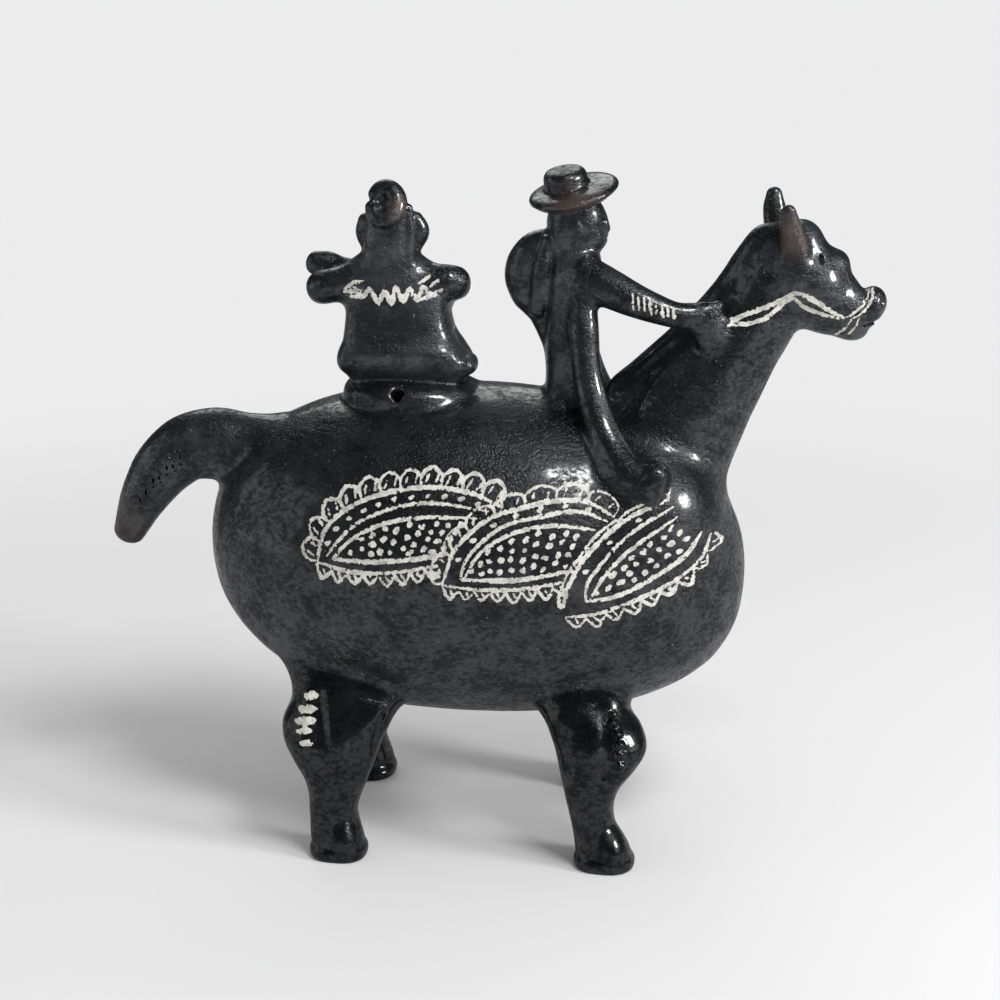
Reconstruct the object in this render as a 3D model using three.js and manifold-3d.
// A folk figurine of black burnished clay: a pot-bodied horse that carries a rider in a
// flat-brimmed hat and, seated sideways behind him, a woman with a guitar.
// Millimetres. +X is the way the horse faces, +Y is its far side, +Z is up.

import * as THREE from 'three';
import { mergeVertices } from 'three/addons/utils/BufferGeometryUtils.js';
import Module from 'manifold-3d';

const wasm = await Module();
wasm.setup();

// The slip joint between two pieces of clay, and the room that a pressed-on piece sinks into the next
const LUTE_GAP = 0.3;
const ROOT_SINK = 8;

// The horse's body: a hollow pot of two bowls, lying along X
const BODY_LENGTH = 166;
const BODY_WIDTH = 90;
const BODY_HEIGHT = 104;
const BODY_AXIS_HEIGHT = 91.5;
const CHEST_DROP = 6;
const BODY_ROUNDNESS = 2.3;
const SHELL_WALL = 5;
const VENT_BORE = 4;

// The four legs
const HOOF_SPREAD = 65;
const HOOF_LENGTH = 18;
const HOOF_WIDTH = 17;
const FETLOCK_HEIGHT = 18;
const FETLOCK_THICKNESS = 15.5;
const KNEE_HEIGHT = 38;
const KNEE_WIDTH = 20;
const FORE_KNEE_DEPTH = 27;
const HOCK_DEPTH = 33;
const THIGH_WIDTH = 25;
const FORE_THIGH_DEPTH = 28;
const HIND_THIGH_DEPTH = 35;
const FORE_LEG_STATION = 0.455;
const HIND_LEG_STATION = -0.5;
const FAR_FORE_SETBACK = 8;

// The tail
const TAIL_THICKNESS = 22;
const TAIL_WIDTH = 19;
const TAIL_REACH = 31;
const TAIL_DROP = 31;

// The neck and mane
const NECK_STATION = 0.65;
const NECK_REACH = 36;
const NECK_RISE = 60;
const NECK_ROOT_DEPTH = 46;
const NECK_ROOT_WIDTH = 38;
const POLL_DEPTH = 23;
const POLL_WIDTH = 18;
const MANE_HEIGHT = 5;
const MANE_WIDTH = 8;

// The head
const HEAD_LENGTH = 25.5;
const HEAD_SLOPE = 31;
const CHEEK_DEPTH = 29;
const CHEEK_WIDTH = 20;
const JOWL_DEPTH = 24;
const MUZZLE_DEPTH = 17;
const MUZZLE_WIDTH = 15;
const EAR_LENGTH = 20;
const EAR_WIDTH = 7;
const EYE_PIT = 2.6;
const MOUTH_SLIT = 1.2;

// The rider
const RIDER_STATION = 0.355;
const RIDER_TORSO_HEIGHT = 43;
const RIDER_TORSO_DEPTH = 15.5;
const RIDER_TORSO_WIDTH = 21;
const RIDER_HEAD_HEIGHT = 17;
const RIDER_HEAD_WIDTH = 16;
const RIDER_LEG_THICKNESS = 8;
const RIDER_ARM_THICKNESS = 9.4;
const HAND_LENGTH = 10;
const FAR_LEG_SETBACK = 3;
const FAR_ARM_DROP = 5;
const HAT_BRIM_DIAMETER = 27;
const HAT_BRIM_THICKNESS = 3;
const HAT_CROWN_DIAMETER = 13.5;
const HAT_CROWN_HEIGHT = 4.5;
const HAT_TILT = 8;
const PONCHO_DROP = 29;
const PONCHO_REACH = 18;
const PONCHO_THICKNESS = 9;

// The woman and her guitar
const WOMAN_STATION = -0.265;
const SEAT_PAD_LENGTH = 40;
const SEAT_PAD_WIDTH = 34;
const SEAT_PAD_RISE = 4;
const SKIRT_LENGTH = 43;
const SKIRT_WIDTH = 28;
const SKIRT_HEIGHT = 18;
const WOMAN_TORSO_HEIGHT = 16;
const WOMAN_SHOULDERS = 28;
const WOMAN_TORSO_WIDTH = 19;
const WOMAN_HEAD_HEIGHT = 15;
const WOMAN_HEAD_WIDTH = 16.5;
const WOMAN_ARM_THICKNESS = 9.5;
const BRAID_LENGTH = 9.2;
const BUN_DIAMETER = 13;
const BUN_ROLL = 4.8;
const BUN_LEAN = 50;
const GUITAR_LENGTH = 26;
const GUITAR_DEPTH = 16;
const GUITAR_THICKNESS = 6;
const GUITAR_NECK_LENGTH = 21;
const GUITAR_NECK_THICKNESS = 6;
const LAP_WIDTH = 28;
const LAP_THICKNESS = 10;
const LAP_DROP = 26;
const SHOE_LENGTH = 9;
const SHOE_THICKNESS = 6;

// Sides of the horse along Y, and directions that the forms are built from
const NEAR = -1;
const FAR = 1;
const ALONG = new THREE.Vector3(1, 0, 0);
const ACROSS = new THREE.Vector3(0, 1, 0);
const UP = new THREE.Vector3(0, 0, 1);

// Fired colours
const BLACK_CLAY = new THREE.MeshStandardMaterial({ color: 0x1d1d1f, roughness: 0.42, metalness: 0.05 });
const BROWNED_CLAY = new THREE.MeshStandardMaterial({ color: 0x3b2c25, roughness: 0.5, metalness: 0.03 });

// Turn a closed three.js geometry into a solid that can be joined and cut
function toSolid(geometry) {
  const bare = geometry.clone();
  bare.deleteAttribute('normal');
  bare.deleteAttribute('uv');
  const merged = mergeVertices(bare, 1e-5);
  return new wasm.Manifold(new wasm.Mesh({
    numProp: 3,
    vertProperties: new Float32Array(merged.attributes.position.array),
    triVerts: new Uint32Array(merged.index.array),
  }));
}

// Turn a solid back into a geometry for its mesh
function toGeometry(solid) {
  const mesh = solid.getMesh();
  const geometry = new THREE.BufferGeometry();
  geometry.setAttribute('position', new THREE.BufferAttribute(mesh.vertProperties, 3));
  geometry.setIndex(new THREE.BufferAttribute(mesh.triVerts, 1));
  geometry.computeVertexNormals();
  return geometry;
}

// A closed skin over rings of equally many points, with a pole at each end
function skin(rings, startPole, endPole) {
  const sides = rings[0].length;
  const points = [startPole, ...rings.flat(), endPole];
  const last = points.length - 1;
  const faces = [];
  for (let i = 0; i < sides; i++) {
    const j = (i + 1) % sides;
    faces.push(0, 1 + j, 1 + i);
    for (let r = 0; r < rings.length - 1; r++) {
      const here = 1 + r * sides;
      const next = here + sides;
      faces.push(here + i, here + j, next + j, here + i, next + j, next + i);
    }
    faces.push(last, last - sides + i, last - sides + j);
  }
  const geometry = new THREE.BufferGeometry();
  const places = points.flatMap((point) => point.toArray());
  geometry.setAttribute('position', new THREE.Float32BufferAttribute(places, 3));
  geometry.setIndex(faces);
  return toSolid(geometry);
}

// A point of a rounded section: 2 is an ellipse, more is squarer
function sectionPoint(angle, roundness) {
  const bend = (value) => Math.sign(value) * Math.abs(value) ** (2 / roundness);
  return [bend(Math.cos(angle)), bend(Math.sin(angle))];
}

// A hand-rolled or pinched form of clay along a line of stations. Each station has its middle, and
// its half sizes across the line: the first along `side`, the second square to it. `domes` gives
// how far each end bulges, with 0 for an end cut flat.
function roll({ stations, side = ACROSS, domes = [3, 3], sides = 12, steps = 8, roundness = 2 }, grow = 0) {
  const path = new THREE.CatmullRomCurve3(stations.map((station) => new THREE.Vector3(...station.at)));
  const halves = new THREE.CatmullRomCurve3(stations.map(({ half }) => new THREE.Vector3(...half, 0)));
  const ring = (share, push, scale) => {
    const along = path.getTangent(share);
    const first = side.clone().addScaledVector(along, -side.dot(along)).normalize();
    const second = along.clone().cross(first);
    const middle = path.getPoint(share).addScaledVector(along, push);
    const half = halves.getPoint(share);
    return Array.from({ length: sides }, (_, i) => {
      const [a, b] = sectionPoint((2 * Math.PI * i) / sides, roundness);
      return middle.clone()
        .addScaledVector(first, a * (half.x + grow) * scale)
        .addScaledVector(second, b * (half.y + grow) * scale);
    });
  };
  const pole = (share, push) => path.getPoint(share).addScaledVector(path.getTangent(share), push);
  const domeRings = (share, length, way) => (length === 0 ? [[0, 1]] : [[0.8, 0.6], [0, 1]])
    .map(([out, scale]) => ring(share, way * (out * length + grow), scale));
  const middles = Array.from({ length: steps - 1 }, (_, i) => ring((i + 1) / steps, 0, 1));
  const rings = [...domeRings(0, domes[0], -1), ...middles, ...domeRings(1, domes[1], 1).reverse()];
  return skin(rings, pole(0, -domes[0] - grow), pole(1, domes[1] + grow));
}

// A pellet of clay: a ball pressed to half sizes along X, Y and Z
function pellet({ at, half, sides = 12 }, grow = 0) {
  const ball = new THREE.SphereGeometry(1, sides, Math.round(sides * 0.6));
  ball.scale(half[0] + grow, half[1] + grow, half[2] + grow);
  ball.translate(...at);
  return toSolid(ball);
}

// A block for cutting, from its lowest to its highest corner
function block(low, high) {
  const size = high.clone().sub(low);
  const box = new THREE.BoxGeometry(size.x, size.y, size.z);
  box.translate(low.x + size.x / 2, low.y + size.y / 2, low.z + size.z / 2);
  return toSolid(box);
}

// The pot's half section at a distance from its middle: its share of the full section
function potShare(x, grow = 0) {
  const reach = Math.min(Math.abs(x) / (BODY_LENGTH / 2 + grow), 1);
  return (1 - reach ** BODY_ROUNDNESS) ** (1 / BODY_ROUNDNESS);
}

// The height of the pot's axis, which sinks towards the chest
function axisHeight(x) {
  return BODY_AXIS_HEIGHT - CHEST_DROP * (Math.max(x, 0) / (BODY_LENGTH / 2)) ** 2;
}

// A point on the pot: distance ahead of its middle, angle from its top towards a side, and lift
function onPot(x, degrees, side, lift = 0) {
  const angle = THREE.MathUtils.degToRad(degrees);
  const share = potShare(x);
  return new THREE.Vector3(
    x,
    side * ((BODY_WIDTH / 2) * share + lift) * Math.sin(angle),
    axisHeight(x) + ((BODY_HEIGHT / 2) * share + lift) * Math.cos(angle),
  );
}

// A place along the pot, from a share of its half length
function station(share) {
  return (share * BODY_LENGTH) / 2;
}

// The pot's outer form, filled
function pot(grow = 0) {
  const sides = 28;
  const steps = 18;
  const rings = [];
  for (let step = 1; step < steps; step++) {
    const turn = (Math.PI * step) / steps;
    const [out, share] = sectionPoint(Math.PI - turn, BODY_ROUNDNESS);
    const x = out * (BODY_LENGTH / 2 + grow);
    rings.push(Array.from({ length: sides }, (_, i) => {
      const angle = (2 * Math.PI * i) / sides;
      return new THREE.Vector3(
        x,
        Math.cos(angle) * (BODY_WIDTH / 2 + grow) * share,
        axisHeight(x) + Math.sin(angle) * (BODY_HEIGHT / 2 + grow) * share,
      );
    }));
  }
  const pole = (way) => {
    const x = way * (BODY_LENGTH / 2 + grow);
    return new THREE.Vector3(x, 0, axisHeight(x));
  };
  return skin(rings, pole(-1), pole(1));
}

// Everything below or above the seam between the pot's two bowls
function seamBlock(below) {
  const reach = BODY_LENGTH + BODY_WIDTH + BODY_HEIGHT;
  const seam = BODY_AXIS_HEIGHT + (below ? -LUTE_GAP / 2 : LUTE_GAP / 2);
  return below
    ? block(new THREE.Vector3(-reach, -reach, seam - reach), new THREE.Vector3(reach, reach, seam))
    : block(new THREE.Vector3(-reach, -reach, seam), new THREE.Vector3(reach, reach, seam + reach));
}

// A leg from its flat sole to its root inside the pot. `knee` and `thigh` are its depths there,
// `step` how far the hoof stands ahead of the leg, and `lean` how far knee and root lie off its line.
function leg({ at, setback = 0, side, knee, thigh, step, lean }, grow = 0) {
  const x = station(at) - setback;
  const root = onPot(x + lean.root, 146, side, -ROOT_SINK);
  const y = (side * HOOF_SPREAD) / 2;
  const stations = [
    { at: [x + step, y, -HOOF_LENGTH / 4], half: [HOOF_WIDTH / 2, HOOF_LENGTH / 2] },
    { at: [x + step * 0.8, y, HOOF_LENGTH / 3], half: [HOOF_WIDTH * 0.48, HOOF_LENGTH * 0.48] },
    { at: [x, y, FETLOCK_HEIGHT], half: [FETLOCK_THICKNESS / 2, FETLOCK_THICKNESS / 2] },
    { at: [x + lean.knee, y * 0.99, KNEE_HEIGHT], half: [KNEE_WIDTH / 2, knee / 2] },
    { at: [x + lean.root, y * 0.95, (KNEE_HEIGHT + root.z) / 2], half: [THIGH_WIDTH / 2, thigh / 2] },
    { at: root.toArray(), half: [THIGH_WIDTH / 2, thigh / 2] },
  ];
  const whole = roll({ stations, domes: [0, 0], steps: 9, sides: 14 }, grow);
  const reach = BODY_LENGTH + HOOF_SPREAD;
  const ground = block(new THREE.Vector3(-reach, -reach, -reach), new THREE.Vector3(reach, reach, -grow));
  return whole.subtract(ground);
}

const foreLeg = (side, setback) => (grow) => leg({
  at: FORE_LEG_STATION,
  setback,
  side,
  knee: FORE_KNEE_DEPTH,
  thigh: FORE_THIGH_DEPTH,
  step: HOOF_LENGTH * 0.22,
  lean: { knee: KNEE_WIDTH * 0.15, root: -THIGH_WIDTH * 0.04 },
}, grow);

const hindLeg = (side) => (grow) => leg({
  at: HIND_LEG_STATION,
  side,
  knee: HOCK_DEPTH,
  thigh: HIND_THIGH_DEPTH,
  step: HOOF_LENGTH * 0.055,
  lean: { knee: 0, root: THIGH_WIDTH * 0.1 },
}, grow);

// The tail arches out of the rump and hangs with its tip turned out
function tail(grow) {
  const rump = onPot(station(-0.78), 0, FAR, -BODY_HEIGHT * 0.06);
  const at = (out, down) => [rump.x - (0.48 + out) * TAIL_REACH, 0, rump.z - down * TAIL_DROP];
  const size = (share) => [(TAIL_WIDTH / 2) * share, (TAIL_THICKNESS / 2) * share];
  return roll({
    stations: [
      { at: [rump.x, 0, rump.z - TAIL_DROP * 0.2], half: size(1) },
      { at: at(0, 0), half: size(1) },
      { at: at(0.42, 0.1), half: size(0.94) },
      { at: at(0.68, 0.34), half: size(0.8) },
      { at: at(0.8, 0.58), half: size(0.68) },
      { at: at(0.9, 0.82), half: size(0.56) },
      { at: at(1, 1), half: size(0.4) },
    ],
    domes: [0, TAIL_THICKNESS * 0.14],
    steps: 12,
  }, grow);
}

// The neck's line and its half sizes, from its root in the pot to the poll
const neckRoot = onPot(station(NECK_STATION), 0, FAR, -BODY_HEIGHT * 0.12);
const neckSpots = [[0, 0, 1], [0.17, 0.2, 0.9], [0.38, 0.43, 0.74], [0.58, 0.61, 0.64], [0.86, 0.82, 0.54]];
const neckStations = [
  ...neckSpots.map(([ahead, up, share]) => ({
    at: [neckRoot.x + ahead * NECK_REACH, 0, neckRoot.z + up * NECK_RISE],
    half: [(NECK_ROOT_WIDTH / 2) * share, (NECK_ROOT_DEPTH / 2) * share],
  })),
  {
    at: [neckRoot.x + NECK_REACH, 0, neckRoot.z + NECK_RISE],
    half: [POLL_WIDTH / 2, POLL_DEPTH / 2],
  },
];
const poll = new THREE.Vector3(...neckStations.at(-1).at);

// A point beside the neck's line: a place along it, how far back of its middle, and to which side
function besideNeck(share, back, side, out) {
  const line = new THREE.CatmullRomCurve3(neckStations.map((spot) => new THREE.Vector3(...spot.at)));
  const halves = new THREE.CatmullRomCurve3(neckStations.map(({ half }) => new THREE.Vector3(...half, 0)));
  const along = line.getTangent(share);
  const rear = along.clone().cross(ACROSS).normalize();
  const half = halves.getPoint(share);
  const flank = half.x * Math.sqrt(Math.max(0, 1 - back * back));
  return line.getPoint(share)
    .addScaledVector(rear, back * half.y)
    .addScaledVector(ACROSS, side * (flank + out));
}

const neck = (grow) => roll({
  stations: neckStations,
  domes: [0, POLL_DEPTH * 0.22],
  steps: 9,
  sides: 16,
}, grow);

// The mane is a flat roll along the crest, from the withers to the poll
function mane(grow) {
  const spots = [0.16, 0.36, 0.56, 0.76, 0.92, 1];
  const stations = spots.map((share) => ({
    at: besideNeck(share, 1, NEAR, 0).setY(0).toArray(),
    half: [MANE_WIDTH / 2, MANE_HEIGHT],
  }));
  const top = stations.at(-1).at;
  stations.push({
    at: [top[0] + POLL_DEPTH * 0.3, 0, top[2] + POLL_DEPTH * 0.28],
    half: [MANE_WIDTH * 0.45, MANE_HEIGHT * 0.8],
  });
  return roll({ stations, domes: [MANE_HEIGHT * 0.8, MANE_HEIGHT * 0.6], steps: 10, sides: 10 }, grow);
}

// Directions of the head: down its nose, and square to that
const slope = THREE.MathUtils.degToRad(HEAD_SLOPE);
const nose = new THREE.Vector3(Math.cos(slope), 0, -Math.sin(slope));
const brow = new THREE.Vector3(Math.sin(slope), 0, Math.cos(slope));

// A point of the head: share of its length, share of the cheek's half depth above its line, and y
function onHead(along, above, y = 0) {
  return poll.clone()
    .add(new THREE.Vector3(HEAD_LENGTH * 0.175, y, HEAD_LENGTH * 0.02))
    .addScaledVector(nose, along * HEAD_LENGTH)
    .addScaledVector(brow, (above * CHEEK_DEPTH) / 2);
}

function head(grow) {
  const whole = roll({
    stations: [
      { at: onHead(0, 0).toArray(), half: [CHEEK_WIDTH / 2, CHEEK_DEPTH / 2] },
      { at: onHead(0.4, -0.04).toArray(), half: [(CHEEK_WIDTH + MUZZLE_WIDTH) / 4, JOWL_DEPTH / 2] },
      { at: onHead(0.72, -0.01).toArray(), half: [MUZZLE_WIDTH * 0.52, (JOWL_DEPTH + MUZZLE_DEPTH) / 4] },
      { at: onHead(1, 0).toArray(), half: [MUZZLE_WIDTH / 2, MUZZLE_DEPTH / 2] },
    ],
    domes: [HEAD_LENGTH * 0.27, HEAD_LENGTH * 0.235],
    steps: 8,
    sides: 18,
  }, grow);
  if (grow > 0) return whole;
  const eye = (side) => pellet({
    at: onHead(0.2, 0.42, side * CHEEK_WIDTH * 0.45).toArray(),
    half: [EYE_PIT / 2, EYE_PIT * 0.75, EYE_PIT / 2],
    sides: 8,
  });
  const lips = onHead(1, -0.3);
  const mouth = block(
    new THREE.Vector3(lips.x, -MUZZLE_WIDTH * 0.3, lips.z - MOUTH_SLIT / 2),
    new THREE.Vector3(lips.x + HEAD_LENGTH, MUZZLE_WIDTH * 0.3, lips.z + MOUTH_SLIT / 2),
  );
  return whole.subtract(eye(NEAR)).subtract(eye(FAR)).subtract(mouth);
}

// A low bump on the head's upper line, from shares of the cheek's half width
const bump = (along, above, shares) => (grow) => pellet({
  at: onHead(along, above).toArray(),
  half: shares.map((share) => (share * CHEEK_WIDTH) / 2),
}, grow);

const forelock = bump(-0.08, 0.98, [0.4, 0.36, 0.4]);
const noseRidge = bump(0.38, 0.8, [0.34, 0.28, 0.3]);

// An ear is a pinched leaf, and the far one stands higher on the head
const ear = (side, along, above) => (grow) => {
  const root = onHead(along, above, side * CHEEK_WIDTH * 0.4);
  const tip = root.clone().add(new THREE.Vector3(-EAR_WIDTH * 0.2, side * EAR_WIDTH * 0.2, EAR_LENGTH));
  const between = (share) => root.clone().lerp(tip, share).toArray();
  return roll({
    stations: [
      { at: between(0), half: [EAR_WIDTH * 0.36, EAR_WIDTH * 0.5] },
      { at: between(0.5), half: [EAR_WIDTH * 0.34, EAR_WIDTH * 0.47] },
      { at: between(0.93), half: [EAR_WIDTH * 0.12, EAR_WIDTH * 0.17] },
    ],
    domes: [0, EAR_LENGTH * 0.07],
    sides: 10,
    steps: 6,
  }, grow);
};

// Places of the rider: where he sits, his shoulders, and the middles of his head and hat
const riderSeat = onPot(station(RIDER_STATION), 0, FAR);
const riderShoulders = riderSeat.clone().addScaledVector(UP, RIDER_TORSO_HEIGHT);
const headLead = RIDER_HEAD_WIDTH * 0.16;
const riderHeadMiddle = riderShoulders.clone().add(new THREE.Vector3(headLead, 0, RIDER_HEAD_HEIGHT * 0.62));
const hatMiddle = riderHeadMiddle.clone().add(new THREE.Vector3(-headLead, 0, RIDER_HEAD_HEIGHT * 0.56));

const riderTorso = (grow) => roll({
  stations: [
    {
      at: [riderSeat.x, 0, riderSeat.z - ROOT_SINK],
      half: [RIDER_TORSO_WIDTH * 0.52, RIDER_TORSO_DEPTH * 0.55],
    },
    {
      at: [riderSeat.x, 0, riderSeat.z + RIDER_TORSO_HEIGHT * 0.4],
      half: [RIDER_TORSO_WIDTH * 0.48, RIDER_TORSO_DEPTH * 0.48],
    },
    { at: riderShoulders.toArray(), half: [RIDER_TORSO_WIDTH * 0.5, RIDER_TORSO_DEPTH * 0.5] },
  ],
  domes: [0, RIDER_TORSO_DEPTH * 0.32],
  steps: 6,
  sides: 16,
}, grow);

const riderHead = (grow) => pellet({
  at: riderHeadMiddle.toArray(),
  half: [RIDER_HEAD_WIDTH / 2, RIDER_HEAD_WIDTH / 2, RIDER_HEAD_HEIGHT * 0.56],
  sides: 16,
}, grow);

const riderNose = (grow) => pellet({
  at: riderHeadMiddle.clone()
    .add(new THREE.Vector3(0.48, 0, -0.06).multiplyScalar(RIDER_HEAD_WIDTH))
    .toArray(),
  half: [0.11, 0.075, 0.14].map((share) => share * RIDER_HEAD_WIDTH),
  sides: 10,
}, grow);

// A round of the hat, from its lathe profile, set on the head's tilt
function hatRound(profile) {
  const lathe = new THREE.LatheGeometry(profile.map(([r, z]) => new THREE.Vector2(r, z)), 24);
  lathe.rotateX(Math.PI / 2);
  lathe.rotateY(-THREE.MathUtils.degToRad(HAT_TILT));
  lathe.rotateX(THREE.MathUtils.degToRad(HAT_TILT / 2));
  lathe.translate(...hatMiddle.toArray());
  return toSolid(lathe);
}

function hatBrim(grow = 0) {
  const rim = HAT_BRIM_DIAMETER / 2 + grow;
  const half = HAT_BRIM_THICKNESS / 2 + grow;
  return hatRound([[0, -half], [rim - half, -half], [rim, 0], [rim - half, half], [0, half]]);
}

function hatCrown(grow = 0) {
  const radius = HAT_CROWN_DIAMETER / 2 + grow;
  const top = HAT_BRIM_THICKNESS / 2 + HAT_CROWN_HEIGHT + grow;
  const round = HAT_CROWN_HEIGHT * 0.27;
  const side = [[radius * 1.06, -grow], [radius, top - round], [radius - round, top]];
  return hatRound([[0, -grow], ...side, [0, top]]);
}

const poncho = (grow) => pellet({
  at: [riderSeat.x - RIDER_TORSO_DEPTH * 0.8, PONCHO_THICKNESS * 0.22, riderShoulders.z - PONCHO_DROP * 0.32],
  half: [PONCHO_REACH / 2, PONCHO_THICKNESS / 2, PONCHO_DROP / 2],
}, grow);

// An arm reaches from the shoulder to the side of the horse's neck
const riderArm = (side, drop) => (grow) => {
  const thick = RIDER_ARM_THICKNESS;
  const wrist = besideNeck(0.7, 0.85, side, thick * 0.32).addScaledVector(UP, -drop);
  const shoulder = riderShoulders.clone()
    .add(new THREE.Vector3(thick * 0.32, side * RIDER_TORSO_WIDTH * 0.42, -thick * 0.37 - drop));
  const bend = new THREE.Vector3(0, side * 0.42, 0.1).multiplyScalar(thick);
  const elbow = shoulder.clone().lerp(wrist, 0.45).add(bend);
  const size = (share) => [(RIDER_ARM_THICKNESS / 2) * share, (RIDER_ARM_THICKNESS / 2) * share];
  return roll({
    stations: [
      { at: shoulder.toArray(), half: size(1.18) },
      { at: elbow.toArray(), half: size(1) },
      { at: wrist.toArray(), half: size(0.86) },
    ],
    domes: [thick * 0.2, thick * 0.2],
    steps: 7,
    sides: 12,
  }, grow);
};

const riderHand = (side, drop) => (grow) => {
  const palm = besideNeck(0.7, 0.5, side, HAND_LENGTH * 0.05).addScaledVector(UP, -drop);
  const half = [0.5, 0.3, 0.42].map((share) => share * HAND_LENGTH);
  return pellet({ at: palm.toArray(), half }, grow);
};

// A leg hangs from the armpit down the torso's side, then forward over the horse's flank
const riderLeg = (side, setback) => (grow) => {
  const half = RIDER_LEG_THICKNESS / 2;
  const beside = side * (RIDER_TORSO_WIDTH / 2 + half * 0.4);
  const size = (share) => [half * share, half * share];
  const ahead = riderSeat.x + RIDER_TORSO_DEPTH * 0.35 - setback;
  const flank = [[0.27, 13], [0.56, 21], [0.94, 28], [1.38, 33], [1.94, 36], [2.56, 36]];
  return roll({
    stations: [
      { at: [ahead, beside, riderSeat.z + RIDER_TORSO_HEIGHT * 0.66], half: size(0.85) },
      { at: [ahead + half * 0.12, beside, riderSeat.z + RIDER_TORSO_HEIGHT * 0.38], half: size(0.88) },
      { at: [ahead + half * 0.25, beside, riderSeat.z + RIDER_TORSO_HEIGHT * 0.16], half: size(0.92) },
      ...flank.map(([forward, angle], i) => ({
        at: onPot(ahead + forward * RIDER_LEG_THICKNESS, angle, side, half * 0.9).toArray(),
        half: size(0.95 + 0.06 * i),
      })),
    ],
    side: ALONG,
    domes: [half * 0.5, half * 0.75],
    steps: 11,
    sides: 10,
  }, grow);
};

// Places of the woman: where she sits, her waist and her shoulders
const womanSeat = onPot(station(WOMAN_STATION), 0, FAR).addScaledVector(UP, SEAT_PAD_RISE);
const womanWaist = womanSeat.clone().add(new THREE.Vector3(-SKIRT_LENGTH * 0.07, 0, SKIRT_HEIGHT));
const womanShoulders = womanWaist.clone()
  .add(new THREE.Vector3(-SKIRT_LENGTH * 0.045, 0, WOMAN_TORSO_HEIGHT));
const womanHeadMiddle = womanShoulders.clone().addScaledVector(UP, WOMAN_HEAD_HEIGHT * 0.63);

const seatPad = (grow) => pellet({
  at: [womanSeat.x + SEAT_PAD_LENGTH * 0.05, 0, womanSeat.z - SEAT_PAD_RISE * 1.25],
  half: [SEAT_PAD_LENGTH / 2, SEAT_PAD_WIDTH / 2, SEAT_PAD_RISE * 1.5],
  sides: 18,
}, grow);

const skirt = (grow) => roll({
  stations: [
    {
      at: womanSeat.clone().addScaledVector(UP, -SKIRT_HEIGHT * 0.055).toArray(),
      half: [SKIRT_WIDTH * 0.47, SKIRT_LENGTH * 0.49],
    },
    {
      at: womanSeat.clone().addScaledVector(UP, SKIRT_HEIGHT * 0.1).toArray(),
      half: [SKIRT_WIDTH / 2, SKIRT_LENGTH / 2],
    },
    {
      at: womanSeat.clone().lerp(womanWaist, 0.35).toArray(),
      half: [SKIRT_WIDTH * 0.45, SKIRT_LENGTH * 0.43],
    },
    { at: womanWaist.toArray(), half: [SKIRT_WIDTH * 0.38, SKIRT_LENGTH * 0.38] },
  ],
  domes: [SKIRT_HEIGHT * 0.11, 0],
  roundness: 3,
  steps: 6,
  sides: 18,
}, grow);

const womanTorso = (grow) => roll({
  stations: [
    {
      at: womanWaist.clone().addScaledVector(UP, -WOMAN_TORSO_HEIGHT * 0.19).toArray(),
      half: [WOMAN_TORSO_WIDTH * 0.54, WOMAN_SHOULDERS * 0.56],
    },
    {
      at: womanWaist.clone().lerp(womanShoulders, 0.55).toArray(),
      half: [WOMAN_TORSO_WIDTH / 2, WOMAN_SHOULDERS * 0.53],
    },
    {
      at: womanWaist.clone().lerp(womanShoulders, 0.75).toArray(),
      half: [WOMAN_TORSO_WIDTH * 0.46, WOMAN_SHOULDERS / 2],
    },
  ],
  domes: [0, WOMAN_TORSO_HEIGHT * 0.37],
  steps: 5,
  sides: 16,
}, grow);

const womanHead = (grow) => roll({
  stations: [
    {
      at: womanHeadMiddle.clone().addScaledVector(UP, -WOMAN_HEAD_HEIGHT * 0.9).toArray(),
      half: [WOMAN_HEAD_WIDTH * 0.46, WOMAN_HEAD_WIDTH * 0.5],
    },
    {
      at: womanHeadMiddle.toArray(),
      half: [WOMAN_HEAD_WIDTH * 0.46, WOMAN_HEAD_WIDTH * 0.47],
    },
    {
      at: womanHeadMiddle.clone().addScaledVector(UP, WOMAN_HEAD_HEIGHT * 0.3).toArray(),
      half: [WOMAN_HEAD_WIDTH * 0.42, WOMAN_HEAD_WIDTH * 0.4],
    },
  ],
  domes: [0, WOMAN_HEAD_HEIGHT * 0.33],
  steps: 6,
  sides: 16,
}, grow);

// Plaited hair at both sides of her head, as small pellets
const braid = (ahead) => (grow) => pellet({
  at: womanHeadMiddle.clone()
    .add(new THREE.Vector3(ahead * 0.43 + 0.05, 0, 0.06).multiplyScalar(WOMAN_HEAD_WIDTH))
    .toArray(),
  half: [0.7, 0.87, 1].map((share) => (share * BRAID_LENGTH) / 2),
}, grow);

// The bun is a coiled roll that leans back against the crown of her head
function bun(grow) {
  const middle = womanHeadMiddle.clone()
    .add(new THREE.Vector3(0, -BUN_ROLL * 0.3, WOMAN_HEAD_HEIGHT * 0.667));
  const reach = (BUN_DIAMETER - BUN_ROLL) / 2;
  const turns = 9;
  const lean = THREE.MathUtils.degToRad(BUN_LEAN);
  const stations = Array.from({ length: turns }, (_, i) => {
    const angle = (2 * Math.PI * 0.9 * i) / (turns - 1) + Math.PI;
    const rise = Math.sin(angle) * reach;
    const offset = new THREE.Vector3(Math.cos(angle) * reach, rise * Math.cos(lean), rise * Math.sin(lean));
    return { at: middle.clone().add(offset).toArray(), half: [BUN_ROLL / 2, BUN_ROLL / 2] };
  });
  const face = new THREE.Vector3(0, -Math.sin(lean), Math.cos(lean));
  return roll({ stations, side: face, domes: [BUN_ROLL * 0.2, BUN_ROLL * 0.2], steps: 14, sides: 8 }, grow);
}

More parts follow.
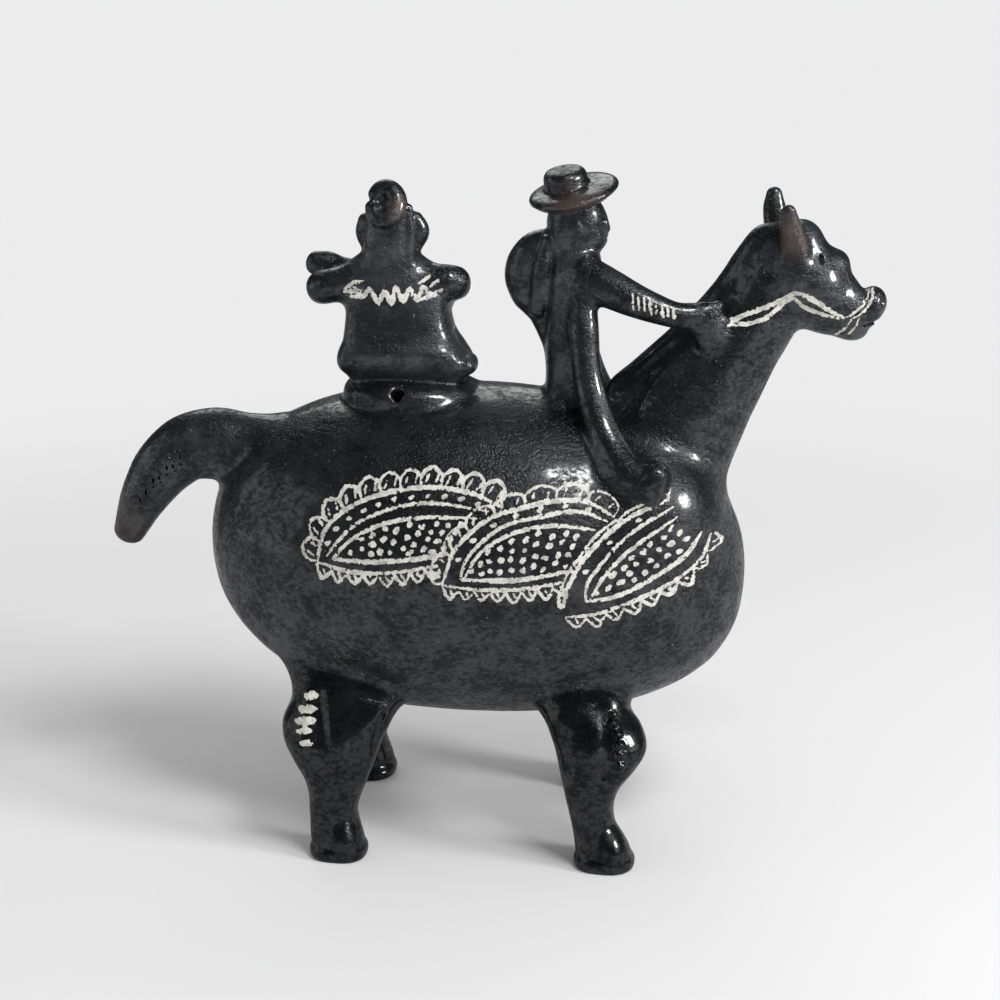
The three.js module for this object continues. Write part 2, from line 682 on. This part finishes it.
const womanNose = (grow) => pellet({
  at: womanHeadMiddle.clone().add(new THREE.Vector3(0, WOMAN_HEAD_WIDTH * 0.45, 0)).toArray(),
  half: [0.075, 0.11, 0.13].map((share) => share * WOMAN_HEAD_WIDTH),
  sides: 10,
}, grow);

// The guitar lies across her lap on the far side, its neck towards the tail
const guitarOut = WOMAN_TORSO_WIDTH / 2 + GUITAR_THICKNESS * 0.83;
const guitarMiddle = womanWaist.clone()
  .add(new THREE.Vector3(GUITAR_LENGTH * 0.15, guitarOut, GUITAR_DEPTH * 0.31));
const guitarLine = new THREE.Vector3(-0.96, -0.1, 0.2).normalize();
const onGuitar = (along) => guitarMiddle.clone().addScaledVector(guitarLine, along).toArray();

const guitarBody = (grow) => roll({
  stations: [
    { at: onGuitar(-GUITAR_LENGTH * 0.42), half: [GUITAR_THICKNESS / 2, GUITAR_DEPTH * 0.36] },
    { at: onGuitar(-GUITAR_LENGTH * 0.22), half: [GUITAR_THICKNESS / 2, GUITAR_DEPTH * 0.5] },
    { at: onGuitar(GUITAR_LENGTH * 0.06), half: [GUITAR_THICKNESS / 2, GUITAR_DEPTH * 0.32] },
    { at: onGuitar(GUITAR_LENGTH * 0.27), half: [GUITAR_THICKNESS / 2, GUITAR_DEPTH * 0.4] },
    { at: onGuitar(GUITAR_LENGTH * 0.42), half: [GUITAR_THICKNESS / 2, GUITAR_DEPTH * 0.26] },
  ],
  domes: [GUITAR_LENGTH * 0.08, GUITAR_LENGTH * 0.08],
  roundness: 2.6,
  steps: 9,
}, grow);

// Its neck ends in a wider head: each spot is a share of the neck's length and two of its thickness
const guitarNeckSpots = [[-0.12, 0.5, 0.5], [0.55, 0.5, 0.55], [0.8, 0.6, 0.85], [1, 0.55, 0.75]];
const guitarNeck = (grow) => roll({
  stations: guitarNeckSpots.map(([along, out, deep]) => ({
    at: onGuitar(GUITAR_LENGTH / 2 + GUITAR_NECK_LENGTH * along),
    half: [GUITAR_NECK_THICKNESS * out, GUITAR_NECK_THICKNESS * deep],
  })),
  domes: [0, GUITAR_NECK_THICKNESS / 2],
  steps: 7,
  sides: 12,
}, grow);

// Her arms: the fretting arm folds out under the guitar's neck, the strumming arm over its body
const womanArm = (ahead, hold) => (grow) => {
  const thick = WOMAN_ARM_THICKNESS;
  const shoulder = womanShoulders.clone()
    .add(new THREE.Vector3(ahead * WOMAN_SHOULDERS * 0.38, 0, -thick * 0.63));
  const elbow = shoulder.clone().add(new THREE.Vector3(ahead, 0.12, -0.35).multiplyScalar(thick * 1.12));
  const hand = new THREE.Vector3(...onGuitar(hold));
  const limb = (from, to, start, end) => roll({
    stations: [
      { at: from.toArray(), half: [(thick / 2) * start, (thick / 2) * start] },
      { at: to.toArray(), half: [(thick / 2) * end, (thick / 2) * end] },
    ],
    side: UP,
    domes: [thick * 0.42 * start, thick * 0.42 * end],
    steps: 4,
    sides: 12,
  }, grow);
  return limb(shoulder, elbow, 1.1, 1).add(limb(elbow, hand, 1, 0.75));
};

// Her skirt falls over the far flank, with the tips of her shoes below it
function skirtFront(grow) {
  const fall = [[0.3, 1], [0.85, 0.94], [1.46, 0.88], [2, 0.82]];
  return roll({
    stations: fall.map(([drop, share], i) => ({
      at: onPot(womanSeat.x, drop * LAP_DROP, FAR, LAP_THICKNESS * share ** 2 / 2).toArray(),
      half: [LAP_WIDTH * (0.42 + 0.026 * i), (LAP_THICKNESS * share) / 2],
    })),
    side: ALONG,
    domes: [LAP_THICKNESS * 0.3, LAP_THICKNESS * 0.2],
    roundness: 2.6,
    steps: 7,
    sides: 18,
  }, grow);
}

const shoe = (ahead) => (grow) => {
  const x = womanSeat.x + (ahead * LAP_WIDTH) / 4;
  const half = SHOE_THICKNESS / 2;
  const steps = [[2.08, 0.2], [2.3, 0.3], [2.44, 0.62]];
  return roll({
    stations: steps.map(([drop, lift]) => ({
      at: onPot(x, drop * LAP_DROP, FAR, lift * SHOE_LENGTH).toArray(),
      half: [half, half * 0.9],
    })),
    side: ALONG,
    domes: [half * 0.3, half * 0.8],
    steps: 5,
    sides: 10,
  }, grow);
};

// The vent slants in under the woman's skirt, through the pad and the bowl below it
function vent() {
  const mouth = womanSeat.clone()
    .add(new THREE.Vector3(-VENT_BORE / 2, -SKIRT_WIDTH * 0.47, -SEAT_PAD_RISE * 0.75));
  const reach = SEAT_PAD_WIDTH * 1.75;
  const drill = new THREE.CylinderGeometry(VENT_BORE / 2, VENT_BORE / 2, reach, 16);
  const inward = new THREE.Vector3(0, 0.45, -1).normalize();
  drill.applyQuaternion(new THREE.Quaternion().setFromUnitVectors(ACROSS, inward));
  drill.translate(...mouth.addScaledVector(inward, reach * 0.37).toArray());
  return toSolid(drill);
}

const figurine = new THREE.Group();
const laid = [];

// Whether two solids' boxes meet
function boxesMeet(one, other) {
  const [a, b] = [one.boundingBox(), other.boundingBox()];
  return [0, 1, 2].every((i) => a.min[i] < b.max[i] && b.min[i] < a.max[i]);
}

// Add one piece of clay as a mesh
function add(name, solid, material) {
  const mesh = new THREE.Mesh(toGeometry(solid), material);
  mesh.name = name;
  figurine.add(mesh);
}

// Lute a form on: it is cut back by every piece already laid that it meets, a slip joint away
function lute(name, form, material = BLACK_CLAY) {
  let solid = form(0);
  for (const earlier of laid) {
    if (boxesMeet(solid, earlier)) solid = solid.subtract(earlier);
  }
  const [largest] = solid.decompose().sort((a, b) => b.volume() - a.volume());
  laid.push(form(LUTE_GAP));
  add(name, largest, material);
}

// The pot's two bowls, with the vent through the upper one
const hollow = pot().subtract(pot(-SHELL_WALL));
add('belly_shell', hollow.intersect(seamBlock(true)), BLACK_CLAY);
add('back_shell', hollow.intersect(seamBlock(false)).subtract(vent()), BLACK_CLAY);
laid.push(pot(LUTE_GAP));

// The horse, from the ground up
lute('near_fore_leg', foreLeg(NEAR, 0));
lute('far_fore_leg', foreLeg(FAR, FAR_FORE_SETBACK));
lute('near_hind_leg', hindLeg(NEAR));
lute('far_hind_leg', hindLeg(FAR));
lute('tail', tail, BROWNED_CLAY);
lute('neck', neck);
lute('head', head);
lute('mane', mane);
lute('forelock', forelock);
lute('nose_ridge', noseRidge);
lute('near_ear', ear(NEAR, -0.06, 0.17), BROWNED_CLAY);
lute('far_ear', ear(FAR, -0.27, 0.12), BROWNED_CLAY);

// The rider
lute('rider_torso', riderTorso);
lute('rider_near_leg', riderLeg(NEAR, 0));
lute('rider_far_leg', riderLeg(FAR, FAR_LEG_SETBACK));
lute('rider_head', riderHead);
lute('rider_nose', riderNose);
lute('hat_brim', hatBrim, BROWNED_CLAY);
lute('hat_crown', hatCrown);
lute('rider_near_hand', riderHand(NEAR, 0));
lute('rider_far_hand', riderHand(FAR, FAR_ARM_DROP));
lute('rider_near_arm', riderArm(NEAR, 0));
lute('rider_far_arm', riderArm(FAR, FAR_ARM_DROP));
lute('poncho_flap', poncho);

// The woman and her guitar
lute('seat_pad', (grow) => seatPad(grow).subtract(vent()));
lute('skirt', skirt);
lute('skirt_front', skirtFront);
lute('left_shoe', shoe(-1));
lute('right_shoe', shoe(1));
lute('woman_torso', womanTorso);
lute('woman_head', womanHead);
lute('woman_nose', womanNose);
lute('hair_bun', bun, BROWNED_CLAY);
lute('left_braid', braid(-1));
lute('right_braid', braid(1));
lute('guitar_body', guitarBody);
lute('guitar_neck', guitarNeck);
lute('woman_left_arm', womanArm(-1, GUITAR_LENGTH / 2 + GUITAR_NECK_LENGTH * 0.45));
lute('woman_right_arm', womanArm(1, -GUITAR_LENGTH * 0.05));

// Stand the figurine on the ground with its box centred on the origin
const reach = new THREE.Box3().setFromObject(figurine);
const middle = reach.getCenter(new THREE.Vector3());
figurine.position.set(-middle.x, -middle.y, -reach.min.z);

export default figurine;
